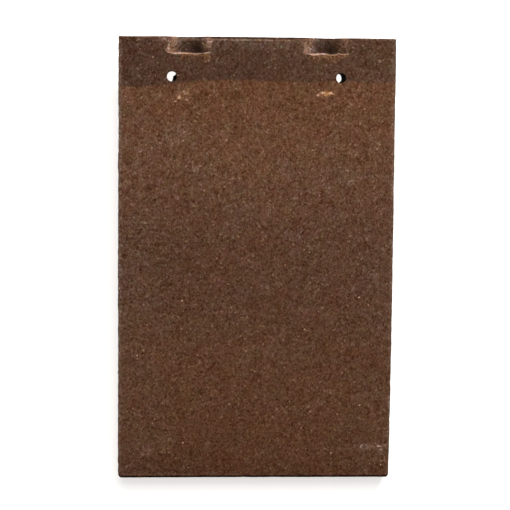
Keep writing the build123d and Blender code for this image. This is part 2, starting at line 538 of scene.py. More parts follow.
def normals_of(p):
    n = np.zeros_like(p)
    fq = np.cross(p[quads[:, 2]] - p[quads[:, 0]], p[quads[:, 3]] - p[quads[:, 1]])
    ft = np.cross(p[tris[:, 1]] - p[tris[:, 0]], p[tris[:, 2]] - p[tris[:, 0]])
    for k in range(4):
        np.add.at(n, quads[:, k], fq)
    for k in range(3):
        np.add.at(n, tris[:, k], ft)
    return n / np.maximum(np.linalg.norm(n, axis=1, keepdims=True), 1e-12)


def out_of_true(flat):
    """Inward shift of the outline in mm: the fired tile is a trace narrower at the tail, and wavers."""
    u, along, w = flat[:, 0], -flat[:, 1], flat[:, 2]
    left = np.interp(
        along, (0, 17, 40, 62, 73, 88, 110, 128, 150, 164, 190, 213, 231, 246, 261),
        (0.12, 0.06, 0.15, 0.17, 0.02, 0.12, 0.06, 0.0, 0.0, 0.15, 0.26, 0.24, 0.13, 0.12, 0.21),
    )
    right = np.interp(
        along, (0, 28, 43, 55, 75, 90, 104, 114, 131, 148, 162, 186, 201, 216, 230, 240, 252, 262),
        (-0.12, -0.12, 0.08, 0.06, 0.03, 0.18, 0.18, 0.08, 0.20, 0.11, 0.17, 0.11, 0.26, 0.17, 0.30, 0.21, 0.36, 0.45),
    )
    # Small lumps and nicks on the upper arrises.
    high = np.exp(-(((w - 1.6) / 4.0) ** 2))
    for spot_at, spread, size in ((200.5, 1.1, -0.48), (77.0, 3.4, -0.14), (33.2, 1.4, -0.20), (253.6, 1.5, -0.16), (68.2, 1.2, 0.16)):
        left = left + size * high * np.exp(-(((along - spot_at) / spread) ** 2))
    for spot_at, spread, size in ((89.4, 1.6, 0.20), (229.0, 1.5, 0.18), (141.0, 1.2, -0.10)):
        right = right + size * high * np.exp(-(((along - spot_at) / spread) ** 2))
    rim = np.clip(np.abs(u) / 82.5, 0, 1) ** 8
    shift = np.zeros_like(flat)
    shift[:, 0] = np.where(u < 0, left, -right) * rim
    head = np.interp(u, (-82, -75, -68, -61, -40, -34), (0.20, 0.30, 0.24, 0.09, 0.07, 0.0))
    shift[:, 1] = -head * smooth_step(6.0, 0.8, along)
    return shift


flat_true = flat + out_of_true(flat)
solid = bend(flat_true)
normal = normals_of(solid)

# ---- fired clay relief ----------------------------------------------------
# Everything below only takes clay away, so the tile stays inside its true size.
rng = np.random.default_rng(4127)
top = kind == TOP
sides = (kind == WALL) | (kind == ENDS)
under = (kind == UNDER) | (kind == NIB)
bore = kind == BORE
mark, wall_mask, lip_mask = mark_depth(flat[:, 0], flat[:, 1])
wall_mask = np.where(top, wall_mask, 0.0)
in_mark = np.where(top, smooth_step(0.3, 1.6, mark), 0.0)

relief = np.zeros(len(flat))
# Slow unevenness of a pressed and fired slab.
relief += 0.10 * gradient_noise(solid, 52.0, 11) * np.where(top | under, 1.0, 0.5)
relief += 0.045 * gradient_noise(solid, 16.0, 12)
# Sandy texture.
relief += np.where(top, 0.050, 0.03) * layered_noise(solid, 4.2, 13, 2)
relief += np.where(top, 0.060, 0.035) * gradient_noise(solid, 1.95, 14)
# Drag marks: along the sides, up and down the cut ends, along the underside.
relief += np.where(kind == WALL, 0.07, 0.0) * layered_noise(solid, (3.0, 34.0, 1.5), 21, 2)
relief += np.where(kind == WALL, np.where(flat[:, 0] < 0, 0.30, 0.20), 0.0) * layered_noise(solid, (9.0, 5.0, 14.0), 27, 2)
relief += np.where(kind == ENDS, 0.07, 0.0) * layered_noise(solid, (1.7, 3.0, 16.0), 22, 2)
relief += np.where(kind == UNDER, 0.08, 0.0) * layered_noise(solid, (2.6, 60.0, 4.0), 23, 2)
relief += np.where(under, 0.07, 0.0) * layered_noise(solid, 9.0, 24, 3)
relief += np.where(bore, 0.10, 0.0) * gradient_noise(solid, (1.6, 1.6, 4.0), 25)
relief -= np.where(top, 0.16, np.where(kind == WALL, 0.15, np.where(kind == ENDS, 0.06, 0.09)))
# Rougher clay where the press pushed through.
relief += 0.10 * in_mark * layered_noise(solid, 2.6, 31, 2)
relief += 0.16 * wall_mask * gradient_noise(solid, (3.2, 6.0, 2.6), 32)

# Pits and grit on the face.
face_ids = np.where(top)[0]
fu, fv = flat[face_ids, 0], flat[face_ids, 1]
order = np.argsort(fv)
sorted_v = fv[order]
for n, low_r, high_r, low_d, high_d, sign in (
    (420, 0.55, 1.15, 0.08, 0.26, -1),
    (40, 1.2, 2.4, 0.10, 0.24, -1),
    (240, 0.55, 0.95, 0.05, 0.12, 1),
):
    for _ in range(n):
        pu, pv = rng.uniform(-half, half), rng.uniform(-RUN, 0)
        r, d = rng.uniform(low_r, high_r), rng.uniform(low_d, high_d)
        stretch = rng.uniform(0.8, 1.7)
        turn = rng.uniform(0, math.pi)
        lo, hi = np.searchsorted(sorted_v, [pv - 2.4 * r * stretch, pv + 2.4 * r * stretch])
        ids = order[lo:hi]
        du, dv = fu[ids] - pu, fv[ids] - pv
        a = (du * math.cos(turn) + dv * math.sin(turn)) / stretch
        b = -du * math.sin(turn) + dv * math.cos(turn)
        relief[face_ids[ids]] += sign * d * np.exp(-((a * a + b * b) / (r * r)) ** 1.3)

# Arrises: rubbed unevenly, with a few small chips.
rub = 0.10 + 0.11 * gradient_noise(solid, 7.0, 41) + 0.10 * gradient_noise(solid, 2.6, 42)
rub = np.maximum(rub, 0.0)
bite = np.maximum(gradient_noise(solid, 5.0, 43) - 0.48, 0) * 1.7
bite += np.maximum(gradient_noise(solid, 2.4, 44) - 0.55, 0) * 1.0
chip = edge * (rub + bite)
relief -= chip
relief = np.where(sides | (edge > 0), np.minimum(relief, -0.02), relief)
relief = np.where(top, np.minimum(relief, 0.0), relief)

solid = solid + normal * relief[:, None]

# Clay never stands out of the true envelope.
lo = np.array(cad_low) * 1000
hi = np.array(cad_high) * 1000
solid = np.clip(solid, lo + 0.005, hi - 0.005)

mesh = bpy.data.meshes.new("roof_tile_clay")
n_quads, n_tris = len(quads), len(tris)
mesh.vertices.add(len(solid))
mesh.vertices.foreach_set("co", (solid / 1000).astype(np.float32).ravel())
mesh.loops.add(n_quads * 4 + n_tris * 3)
mesh.loops.foreach_set("vertex_index", np.concatenate([quads.ravel(), tris.ravel()]).astype(np.int32))
mesh.polygons.add(n_quads + n_tris)
starts = np.concatenate([np.arange(n_quads) * 4, n_quads * 4 + np.arange(n_tris) * 3])
mesh.polygons.foreach_set("loop_start", starts.astype(np.int32))
mesh.polygons.foreach_set("use_smooth", np.ones(n_quads + n_tris, bool))
mesh.update(calc_edges=True)
mesh.validate(verbose=False)


def attribute(name, values):
    a = mesh.attributes.new(name, "FLOAT", "POINT")
    a.data.foreach_set("value", values.astype(np.float32))


attribute("arris", np.clip(edge, 0, 1))


def window_of(x, low, high, soft):
    return smooth_step(low - soft, low + soft, x) * smooth_step(high + soft, high - soft, x)


# Where the marks' flanks tore pale, where their floors get painted shade, and how pale their ledges rubbed.
from_head = flat[:, 1]
into = np.clip(from_head, -9.4, 0)
wobble = 0.9 * gradient_noise(solid, 3.4, 61) + 0.5 * gradient_noise(solid, 1.6, 62)
torn = np.zeros(len(flat))
floor_shade = np.zeros(len(flat))
pale = np.zeros(len(flat))
ledge_tone = wall_mask.copy()
for side, shift, right_share in ((-1, 0.0, 0.76), (1, -2.6, 0.55)):
    x = flat[:, 0] - side * MARK_SPACING / 2
    spread = 1.6 * smooth_step(-2.0, -9.0, from_head)
    left = smooth_step(-3.8, -7.6, x - shift + wobble)
    left = left * smooth_step(-12.4 - spread, -10.6 - spread, x - 0.6 * shift + 0.6 * wobble)
    shoulder = 0.52 * np.exp(-(((x + 14.6) / 2.8) ** 2) - ((from_head + 2.4) / 2.2) ** 2)
    right = right_share * smooth_step(7.8, 10.4, x - 0.6 * shift + wobble) * smooth_step(15.2, 12.8, x - 0.6 * shift + wobble)
    right = right * smooth_step(-9.0, -6.0, from_head)
    torn += (left + right) * smooth_step(-10.4, -9.4, from_head) + shoulder
    near = np.abs(x) < 14
    if side < 0:
        low, high = -5.4 + 0.45 * (into + 3), 6.2 - 0.72 * (into + 3)
        deep = np.exp(-(((x - 5.2) / 4.2) ** 2) - ((from_head + 7.3) / 3.0) ** 2)
        level, dip = 0.42, 0.68
        ledge_tone *= np.where(near, np.interp(x, (-11.6, -10, -8.6), (1.0, 0.78, 1.0)), 1.0)
        share = np.interp(
            x, (-13, -11.8, -10, -8.2, -6.5, -4.7, -2.9, -1.1, 0.6, 4, 8, 9.5, 11.2, 13),
            (0, 0.2, 0.0, 0.75, 0.5, 0.9, 0.42, 0.55, 0.12, 0.0, 0.0, 0.3, 0.6, 0.3),
        )
        reach = window_of(x, 9.0, 12.8, 1.2) + 0.4 * window_of(x, -3.0, 3.0, 1.0)
    else:
        low, high = np.full_like(into, -7.6), 4.2 - 0.85 * np.minimum(into + 5, 0)
        deep = np.exp(-(((x - 3.4) / 2.9) ** 2) - ((from_head + 7.4) / 3.4) ** 2)
        level, dip = 0.58, 0.50
        share = np.interp(
            x, (-13, -10.8, -7.3, -5.5, -3.7, -1.9, -0.2, 1.6, 5.1, 8.7, 10.8, 12.4),
            (0.2, 0.7, 0.74, 0.84, 0.24, 0.18, 0.06, 0.0, 0.0, 0.30, 0.4, 0.3),
        )
        reach = window_of(x, 11.0, 12.4, 1.0) + 0.6 * window_of(x, -4.0, 0.6, 0.8)
        ledge_tone *= np.where(near, np.interp(x, (-1, 1.6, 6.9, 8.7, 10.4), (1.0, 0.62, 0.50, 0.95, 0.75)), 1.0)
    floor = smooth_step(low - 1.8, low + 1.8, x + wobble) * smooth_step(high + 2.6, high - 2.6, x + wobble)
    floor = floor * smooth_step(-1.4, -3.4, from_head) * (from_head > -9.9)
    # Painted shade on the floor of the mark, deepest near the ledge, right of its middle.
    floor_shade += floor * (level + dip * deep)
    pale += np.where(near, share * wall_mask + 0.5 * reach * lip_mask * top, 0.0)

# On the head end these tones fade just below the rim of the marks.
rim_depth = mark_depth(flat[:, 0], np.full(len(flat), -ARRIS))[0]
below = flat[:, 2] - np.where(from_head > -20, rim_depth, 0.0)
fade = np.where(kind == ENDS, smooth_step(3.0, 0.9, below + 1.2 * wobble), 1.0)
attribute("torn", np.clip(torn, 0, 1) * fade * (top | (kind == ENDS)))
attribute("mark_floor_shade", np.clip(floor_shade, 0, 1) * top * (1 - wall_mask))
attribute("ledge", ledge_tone)
attribute("ledge_pale", np.clip(pale, 0, 1))
attribute("rim", smooth_step(2.2, 1.0, below))
attribute("rim_thin", smooth_step(1.1, 0.6, below))
# How far the painted shade on the tail end reaches down the end face, with an uneven lower edge.
attribute("tail_shade_fade", smooth_step(8.0, 1.4, flat[:, 2] + 2.6 * gradient_noise(solid, 8.0, 63) + 0.9 * wobble))
attribute("side", sides.astype(float))
attribute("under", under.astype(float))
attribute("bore", bore.astype(float))
attribute("hollow", np.clip(-relief / 0.5, 0, 1))

tile = bpy.data.objects.new("roof_tile_clay", mesh)
bpy.context.scene.collection.objects.link(tile)


# ---- material -------------------------------------------------------------
def srgb(r, g, b):
    def lin(c):
        c = c / 255
        return c / 12.92 if c <= 0.04045 else ((c + 0.055) / 1.055) ** 2.4
    return (lin(r), lin(g), lin(b), 1.0)


class Net:
    """Short hand for building a node tree."""

    def __init__(self, material):
        material.use_nodes = True
        self.tree = material.node_tree
        self.nodes = self.tree.nodes
        self.nodes.clear()

    def new(self, kind, **settings):
        node = self.nodes.new(kind)
        for k, v in settings.items():
            setattr(node, k, v)
        return node

    def put(self, socket, value):
        if isinstance(value, bpy.types.NodeSocket):
            self.tree.links.new(value, socket)
        else:
            socket.default_value = value

    def math(self, op, a, b=0.0, c=0.0, clamp=False):
        node = self.new("ShaderNodeMath", operation=op, use_clamp=clamp)
        for s, v in zip(node.inputs, (a, b, c)):
            self.put(s, v)
        return node.outputs[0]

    def add(self, a, b):
        return self.math("ADD", a, b)

    def mul(self, a, b):
        return self.math("MULTIPLY", a, b)

    def step(self, value, low, high, out_low=0.0, out_high=1.0):
        node = self.new("ShaderNodeMapRange", interpolation_type="SMOOTHSTEP", clamp=True)
        self.put(node.inputs["Value"], value)
        node.inputs["From Min"].default_value = low
        node.inputs["From Max"].default_value = high
        node.inputs["To Min"].default_value = out_low
        node.inputs["To Max"].default_value = out_high
        return node.outputs["Result"]

    def mix(self, share, a, b, blend="MIX"):
        node = self.new("ShaderNodeMix", data_type="RGBA", blend_type=blend, clamp_factor=True)
        self.put(node.inputs["Factor"], share)
        self.put(node.inputs["A"] if node.inputs["A"].type == "RGBA" else node.inputs[6], a)
        self.put(node.inputs["B"] if node.inputs["B"].type == "RGBA" else node.inputs[7], b)
        return node.outputs[2]

    def noise(self, where, size, detail=2.0, rough=0.5, distort=0.0):
        node = self.new("ShaderNodeTexNoise", noise_dimensions="3D")
        self.put(node.inputs["Vector"], where)
        node.inputs["Scale"].default_value = 1.0 / size
        node.inputs["Detail"].default_value = detail
        node.inputs["Roughness"].default_value = rough
        node.inputs["Distortion"].default_value = distort
        return node.outputs[0]

    def cells(self, where, size, random=1.0):
        node = self.new("ShaderNodeTexVoronoi", feature="F1", voronoi_dimensions="3D")
        self.put(node.inputs["Vector"], where)
        node.inputs["Scale"].default_value = 1.0 / size
        node.inputs["Randomness"].default_value = random
        return node

    # Points stay points from node to node, so the renderer keeps few values at a time.
    def shift(self, where, x, y, z):
        node = self.new("ShaderNodeMapping", vector_type="POINT")
        self.put(node.inputs["Vector"], where)
        node.inputs["Location"].default_value = (x, y, z)
        return node.outputs[0]

    def stretch(self, where, x, y, z):
        node = self.new("ShaderNodeMapping", vector_type="POINT")
        self.put(node.inputs["Vector"], where)
        node.inputs["Scale"].default_value = (x, y, z)
        return node.outputs[0]

    def attribute(self, name):
        return self.new("ShaderNodeAttribute", attribute_type="GEOMETRY", attribute_name=name).outputs["Fac"]


clay = bpy.data.materials.new("roof_tile_clay")
net = Net(clay)
coords = net.new("ShaderNodeTexCoord").outputs["Object"]
mm = net.stretch(coords, 1000, 1000, 1000)
split = net.new("ShaderNodeSeparateXYZ")
net.put(split.inputs[0], mm)
X, Y, Z = split.outputs

arris = net.attribute("arris")
ledge_wall = net.attribute("ledge")
ledge_pale = net.attribute("ledge_pale")
rim = net.attribute("rim")
rim_thin = net.attribute("rim_thin")
tail_shade_fade = net.attribute("tail_shade_fade")
torn_clay = net.attribute("torn")
mark_floor_shade = net.attribute("mark_floor_shade")
side = net.attribute("side")
under = net.attribute("under")
bore_shade = net.attribute("bore")


def centred(value, amount):
    return net.mul(net.math("SUBTRACT", value, 0.5), amount)


def all_of(*masks):
    result = masks[0]
    for m in masks[1:]:
        result = net.mul(result, m)
    return result


def window(value, low, high, soft):
    return net.mul(net.step(value, low - soft, low + soft), net.step(value, high - soft, high + soft, 1.0, 0.0))


def spot(x, y, half_x, half_y, turn=0.0):
    """Soft ellipse on the face, 1 in the middle and 0 at its rim."""
    c, s = math.cos(math.radians(turn)), math.sin(math.radians(turn))
    a = net.math("MULTIPLY_ADD", X, c / half_x, -(x * c + y * s) / half_x)
    b = net.math("MULTIPLY_ADD", Y, c / half_y, (x * s - y * c) / half_y)
    if turn:
        a = net.math("MULTIPLY_ADD", Y, s / half_x, a)
        b = net.math("MULTIPLY_ADD", X, -s / half_y, b)
    reach = net.math("SQRT", net.math("MULTIPLY_ADD", a, a, net.mul(b, b)))
    return net.step(reach, 0.2, 1.0, 1.0, 0.0)


# Slow drift of the firing colour along the tile: redder at the tail, warm below the head.
along = net.add(Y, centred(net.noise(mm, 46.0, 2.0, 0.5), 30.0))
ramp_in = net.new("ShaderNodeMapRange", interpolation_type="LINEAR", clamp=True)
net.put(ramp_in.inputs["Value"], along)
ramp_in.inputs["From Min"].default_value = -132
ramp_in.inputs["From Max"].default_value = 100
ramp = net.new("ShaderNodeValToRGB")
ramp.color_ramp.interpolation = "EASE"
tones = [
    (-132, srgb(78.5, 49, 32)),
    (-114, srgb(87, 56, 37.5)),
    (-90, srgb(88, 57, 38.5)),
    (0, srgb(82.5, 55, 39.5)),
    (60, srgb(90, 60.5, 43)),
    (100, srgb(89, 57.5, 38)),
]
elements = ramp.color_ramp.elements
while len(elements) < len(tones):
    elements.new(0.5)
for e, (y, c) in zip(elements, tones):
    e.position = (y + 132) / 232
    e.color = c
net.put(ramp.inputs["Fac"], ramp_in.outputs["Result"])
colour = ramp.outputs["Color"]

# Hue patches, ashy along the long edges in the lower half.
face = net.math("SUBTRACT", 1.0, under)
patch = net.noise(net.shift(mm, 300, 0, 0), 34.0, 2.0, 0.5)
colour = net.mix(net.step(patch, 0.5, 0.75, 0.0, 0.22), colour, srgb(92, 54, 36))
patch = net.noise(net.shift(mm, 0, 500, 0), 27.0, 2.0, 0.5)
colour = net.mix(net.step(patch, 0.5, 0.75, 0.0, 0.22), colour, srgb(76, 59, 42))
ashy = net.add(net.step(X, -80.0, -42.0, 1.0, 0.0), net.step(X, 48.0, 80.0, 0.0, 0.45))
colour = net.mix(all_of(ashy, net.step(Y, -10.0, 50.0, 0.14, 0.05)), colour, srgb(98, 76, 64))
warm = all_of(net.step(net.math("ABSOLUTE", X), 22.0, 52.0, 1.0, 0.0), window(Y, 56.0, 78.0, 14.0))
colour = net.mix(net.mul(warm, 0.30), colour, srgb(98, 65, 43))

# The head was covered by the next tile in the kiln, and stayed greyer.
edge_wobble = centred(net.noise(mm, 9.0, 3.0, 0.55), 3.2)
left_dip = net.step(X, -75.0, -25.0, -4.2, 0.0)
band_line = net.add(net.add(edge_wobble, left_dip), 106.2)
band = net.step(net.math("SUBTRACT", Y, band_line), -1.0, 1.2)
# The underside was covered all over, so it hardly shows there.
band = net.mul(band, net.step(under, 0.0, 1.0, 1.0, 0.25))
band_tone = net.mix(net.step(X, -50.0, 75.0, 0.0, 1.0), srgb(67, 45, 32.5), srgb(73.5, 50, 36))
colour = net.mix(net.mul(band, 0.97), colour, band_tone)

# Streaks of warm clay dragged out of the marks.
rub_noise = net.noise(net.shift(mm, 7, 7, 70), 1.7, 2.0, 0.6)
mottle_low = net.noise(net.shift(mm, 53, 29, 5), 6.0, 2.0, 0.5)
long_streaks = net.noise(net.stretch(net.shift(mm, 19, 3, 0), 1.0, 0.14, 0.3), 1.5, 1.0, 0.5)
under_marks = net.add(window(X, -46.0, -28.5, 2.0), net.mul(window(X, 31.0, 53.0, 2.0), 0.85))
streaks = all_of(under_marks, window(Y, 117.6, 123.2, 1.3), net.step(long_streaks, 0.36, 0.60), face)
colour = net.mix(net.mul(streaks, 0.42), colour, srgb(100, 64, 38))
lip_line = all_of(under_marks, window(Y, 120.6, 122.6, 0.5), net.step(rub_noise, 0.30, 0.55), face)
colour = net.mix(net.mul(lip_line, 0.45), colour, srgb(114, 76, 46))

# Torn, paler clay round the press marks, and painted shade on their floors, darkest in their lee.
torn = net.mul(torn_clay, net.step(rub_noise, 0.30, 0.60, 0.2, 1.0))
colour = net.mix(net.mul(torn, 0.75), colour, srgb(144, 104, 85))
ledge = net.mul(ledge_wall, net.step(rub_noise, 0.20, 0.50, 0.5, 1.0))
colour = net.mix(net.mul(ledge, 0.85), colour, srgb(122, 95, 78))
colour = net.mix(net.mul(ledge_pale, net.step(rub_noise, 0.20, 0.50, 0.7, 1.0)), colour, srgb(162, 131, 113))
# Painted shade: the floors of the marks are darkened nearly to black.
colour = net.mix(net.mul(mark_floor_shade, 0.90), colour, srgb(26, 16, 11))
fresh_chip = spot(-28.1, 129.1, 1.7, 1.1, 15)
colour = net.mix(net.mul(fresh_chip, 0.55), colour, srgb(186, 148, 124))

# Head arris painted dark: painted shade along the edge. Behind it in the middle a pale line, partly worn clay and
# partly painted highlight. Tail arris painted dark: painted shade.
broken = net.step(rub_noise, 0.28, 0.60, 0.42, 1.0)
head_arris_shade = all_of(
    net.step(Y, 131.30, 131.80), net.step(X, -55.0, -48.0), net.step(X, 54.0, 64.0, 1.0, 0.25),
    net.step(torn_clay, 0.1, 0.5, 1.0, 0.0), broken,
    net.math("MAXIMUM", net.mul(rim, net.step(Z, 20.7, 21.9, 0.30, 1.0)), net.mul(rim_thin, 0.9)),
)
colour = net.mix(net.mul(head_arris_shade, 0.86), colour, srgb(34, 26, 19))
# Near both head corners the arris is rubbed pale.
head_rub = all_of(
    net.step(Y, 131.0, 131.7), net.step(net.math("ABSOLUTE", X), 56.0, 64.0), net.step(Z, 21.0, 22.0), broken
)
colour = net.mix(net.mul(head_rub, net.step(X, -1.0, 1.0, 0.38, 0.22)), colour, srgb(134, 106, 88))
# Pale line behind the head arris: partly worn clay, partly painted highlight.
head_wear_and_highlight = all_of(
    window(Y, 129.95, 130.90, 0.18), window(X, -29.0, 21.0, 3.0), net.step(rub_noise, 0.30, 0.58, 0.35, 1.0), face
)
colour = net.mix(net.mul(head_wear_and_highlight, 0.72), colour, srgb(128, 101, 81))
head_haze = net.add(net.mul(window(Y, 129.2, 130.4, 0.6), 0.05), net.mul(window(Y, 124.8, 130.4, 2.0), 0.085))
head_haze = all_of(head_haze, window(X, -29.0, 21.0, 3.0), face)
colour = net.mix(head_haze, colour, srgb(126, 106, 92))
mark_line = all_of(window(Y, 129.9, 131.40, 0.25), window(X, -50.0, -31.0, 2.0), face)
colour = net.mix(net.mul(mark_line, 0.56), colour, srgb(126, 100, 84))
# Painted shade on the tail arris, fading unevenly down the end face.
tail_shade_mask = net.step(net.add(Y, centred(rub_noise, 0.7)), -130.60, -131.20)
tail_shade_share = net.add(all_of(rim, broken, 0.50), net.mul(tail_shade_fade, net.step(mottle_low, 0.36, 0.62, 0.26, 0.58)))
colour = net.mix(net.mul(tail_shade_mask, tail_shade_share), colour, srgb(22, 13, 7))
tail_line = net.mul(window(Y, -130.5, -129.6, 0.25), net.step(rub_noise, 0.42, 0.66))
colour = net.mix(net.mul(tail_line, 0.35), colour, srgb(112, 90, 72))
side_line = net.mul(net.step(net.math("ABSOLUTE", X), 79.4, 81.4), net.step(net.math("ABSOLUTE", Y), 131.0, 130.0))
side_line = all_of(side_line, rim, net.step(along, -60.0, 60.0, 0.38, 0.44), net.step(X, -1.0, 1.0, 1.3, 0.75))
colour = net.mix(side_line, colour, srgb(106, 85, 71))
# The nib tips and the tail's lower arris are rubbed where the tile has stood.
rested = net.mul(net.step(Z, 0.5, 1.5, 1.0, 0.0), net.step(rub_noise, 0.34, 0.60))
colour = net.mix(net.mul(rested, 0.40), colour, srgb(120, 86, 64))

# Scuffs where other tiles rubbed: soft warm patches first, then the bright touches in them. The first patch is not a
# scuff but painted shade: a dark halo just above the left nail hole.
patches = (
    # Painted shade just above the left nail hole.
    (-51.2, 112.9, 4.6, 1.6, 0, 0.40, srgb(64, 56, 44)),
    (-44.0, 97.6, 7.2, 4.6, 0, 0.46, srgb(128, 88, 62)),
    (-40.5, 99.6, 5.0, 2.8, 0, 0.36, srgb(126, 90, 66)),
    (40.6, 99.0, 8.0, 3.2, 0, 0.36, srgb(126, 86, 58)),
    (41.3, 101.3, 3.2, 2.2, 0, 0.50, srgb(120, 82, 52)),
    (44.8, 95.6, 4.2, 2.8, -10, 0.55, srgb(66, 43, 34)),
    (68.0, -113.6, 12.0, 3.2, 0, 0.34, srgb(120, 90, 72)),
    (77.0, -116.0, 3.4, 4.2, 0, 0.30, srgb(118, 92, 76)),
    (-65.3, -117.0, 5.6, 2.2, 8, 0.36, srgb(122, 92, 74)),
    (-48.0, 73.0, 16.0, 10.0, 0, 0.36, srgb(106, 83, 65)),
    (-22.0, 55.0, 15.0, 9.0, 0, 0.24, srgb(94, 76, 54)),
    (73.0, -8.0, 8.0, 14.0, 0, 0.26, srgb(110, 84, 68)),
    (23.0, 16.0, 9.0, 8.0, 0, 0.24, srgb(112, 86, 70)),
    (65.0, -125.5, 12.0, 4.5, 0, 0.24, srgb(62, 41, 27)),
    (-62.0, 119.5, 10.0, 5.0, 0, 0.22, srgb(56, 40, 31)),
)
for x, y, a, b, turn, share, tone in patches:
    mask = all_of(spot(x, y, a, b, turn), net.step(rub_noise, 0.30, 0.62, 0.35, 1.0), face)
    colour = net.mix(net.mul(mask, share), colour, tone)
touches = (
    (-52.8, 125.6, 0.8, 2.8, 0, 0.55, srgb(186, 146, 124)),
    (-49.6, 130.4, 1.9, 1.3, 0, 0.42, srgb(170, 130, 110)),
    (-55.5, 130.9, 2.8, 0.9, 0, 0.40, srgb(148, 112, 92)),
    (-42.3, 125.0, 0.7, 0.6, 0, 0.50, srgb(116, 88, 74)),
    (-40.3, 125.1, 0.7, 0.6, 0, 0.50, srgb(116, 88, 74)),
    (-46.8, 95.9, 1.5, 1.2, 0, 0.80, srgb(196, 146, 118)),
    (-46.0, 97.0, 1.9, 0.9, 25, 0.60, srgb(160, 116, 90)),
    (-42.2, 98.2, 2.4, 0.9, 0, 0.52, srgb(156, 118, 90)),
    (-43.9, 99.7, 0.9, 1.0, 0, 0.65, srgb(160, 124, 100)),
    (-42.0, 94.7, 1.8, 0.9, -40, 0.60, srgb(148, 112, 92)),
    (-48.7, 93.8, 1.0, 0.9, 0, 0.55, srgb(146, 112, 92)),
    (41.1, 99.2, 3.8, 1.9, 0, 0.76, srgb(172, 120, 82)),
    (37.9, 98.2, 4.0, 1.1, 0, 0.50, srgb(150, 108, 82)),
    (36.2, 98.5, 2.1, 1.1, 30, 0.55, srgb(172, 128, 104)),
    (38.8, 99.7, 1.6, 1.0, 0, 0.80, srgb(200, 152, 122)),
    (43.4, 99.7, 1.7, 1.05, 0, 0.80, srgb(206, 158, 128)),
    (45.2, 99.1, 2.0, 0.8, -20, 0.70, srgb(160, 114, 88)),
    (75.8, -113.0, 2.1, 0.8, 0, 0.85, srgb(190, 154, 138)),
    (73.9, -111.4, 1.7, 0.9, 0, 0.60, srgb(150, 118, 104)),
    (71.3, -113.1, 4.0, 1.2, 0, 0.55, srgb(128, 98, 84)),
    (65.2, -112.7, 2.0, 1.4, 0, 0.50, srgb(122, 94, 76)),
    (61.1, -112.9, 1.5, 2.0, 0, 0.45, srgb(118, 88, 74)),
    (76.9, -115.1, 2.0, 0.9, 0, 0.60, srgb(134, 108, 92)),
    (76.9, -118.1, 1.9, 0.8, 0, 0.50, srgb(124, 98, 84)),
    (79.5, -121.2, 0.9, 3.2, 0, 0.65, srgb(136, 96, 84)),
    (-69.5, 64.0, 1.6, 0.7, 20, 0.60, srgb(160, 130, 108)),
)
for x, y, a, b, turn, share, tone in touches:
    colour = net.mix(all_of(spot(x, y, a, b, turn), face, share), colour, tone)

# Grain: sand and grog. Light grains are pale, dark ones keep their warmth.
# The clay was drawn along its length, so the grains are a little longer that way.
drawn = net.stretch(mm, 1.09, 0.86, 1.0)
sand = net.new("ShaderNodeSeparateColor")
net.put(sand.inputs[0], net.cells(net.shift(drawn, 23, 61, 17), 0.85).outputs["Color"])
grain = net.noise(net.shift(drawn, 11, 7, 3), 1.2, 1.0, 0.6)
fleck = net.noise(net.shift(drawn, 71, 17, 9), 2.3, 2.0, 0.6)
mottle = net.noise(net.shift(mm, 31, 47, 5), 7.0, 3.0, 0.6)
broad = net.noise(net.shift(mm, 91, 27, 15), 21.0, 2.0, 0.5)
red_patch = net.noise(net.shift(mm, 131, 7, 45), 11.0, 3.0, 0.7)
ochre_patch = net.noise(net.shift(mm, 3, 147, 25), 12.0, 3.0, 0.7)
red_grain = net.noise(net.shift(mm, 63, 27, 5), 3.6, 2.0, 0.6)
ochre_grain = net.noise(net.shift(mm, 13, 87, 55), 3.6, 2.0, 0.6)
reds = net.add(centred(red_patch, 0.21), centred(red_grain, 0.20))
ochres = net.add(centred(ochre_patch, 0.56), centred(ochre_grain, 0.56))
strength = net.add(centred(grain, 0.98), net.add(centred(fleck, 0.84), centred(mottle, 0.56)))
strength = net.add(strength, centred(sand.outputs[0], 0.72))
# Most grains stay near the mean and a few stand out. Under the band they are quieter.
strength = net.mul(strength, net.add(net.mul(net.mul(strength, strength), 1.5), 0.74))
strength = net.add(net.add(strength, net.mul(net.math("MINIMUM", strength, 0.0), 0.34)), 0.03)
strength = net.mul(strength, net.add(net.mul(band, -0.04), net.step(Y, -70.0, -10.0, 0.93, 0.97)))
darker = net.math("MINIMUM", strength, 0.0)
strength = net.add(strength, centred(broad, 0.16))
parts = net.new("ShaderNodeCombineXYZ")
net.put(parts.inputs[0], net.math("EXPONENT", net.add(net.add(strength, reds), net.mul(darker, -0.08))))
net.put(parts.inputs[1], net.math("EXPONENT", net.math("SUBTRACT", net.mul(strength, 1.4), reds)))
net.put(parts.inputs[2], net.math("EXPONENT", net.add(net.add(net.mul(strength, 1.77), ochres), net.mul(darker, 0.22))))
grained = net.new("ShaderNodeVectorMath", operation="MULTIPLY")
net.put(grained.inputs[0], colour)
net.put(grained.inputs[1], parts.outputs[0])
colour = grained.outputs[0]


def scattered(cell, radius, rarity, shift, channel, stretch=(1, 1, 1)):
    """Mask of round grains: one in a few cells of the given size."""
    # Turned, so that no row of cells lies level with the face.
    turned = net.new("ShaderNodeMapping", vector_type="POINT")
    net.put(turned.inputs["Vector"], net.stretch(net.shift(mm, *shift), *stretch))
    turned.inputs["Rotation"].default_value = (0.53, 0.61, 0.77)
    points = net.cells(turned.outputs[0], cell)
    pick = net.new("ShaderNodeSeparateColor")
    net.put(pick.inputs[0], points.outputs["Color"])
    near = net.step(points.outputs["Distance"], radius * 0.6, radius, 1.0, 0.0)
    return net.mul(near, net.math("GREATER_THAN", pick.outputs[channel], rarity)), pick.outputs[(channel + 1) % 3]
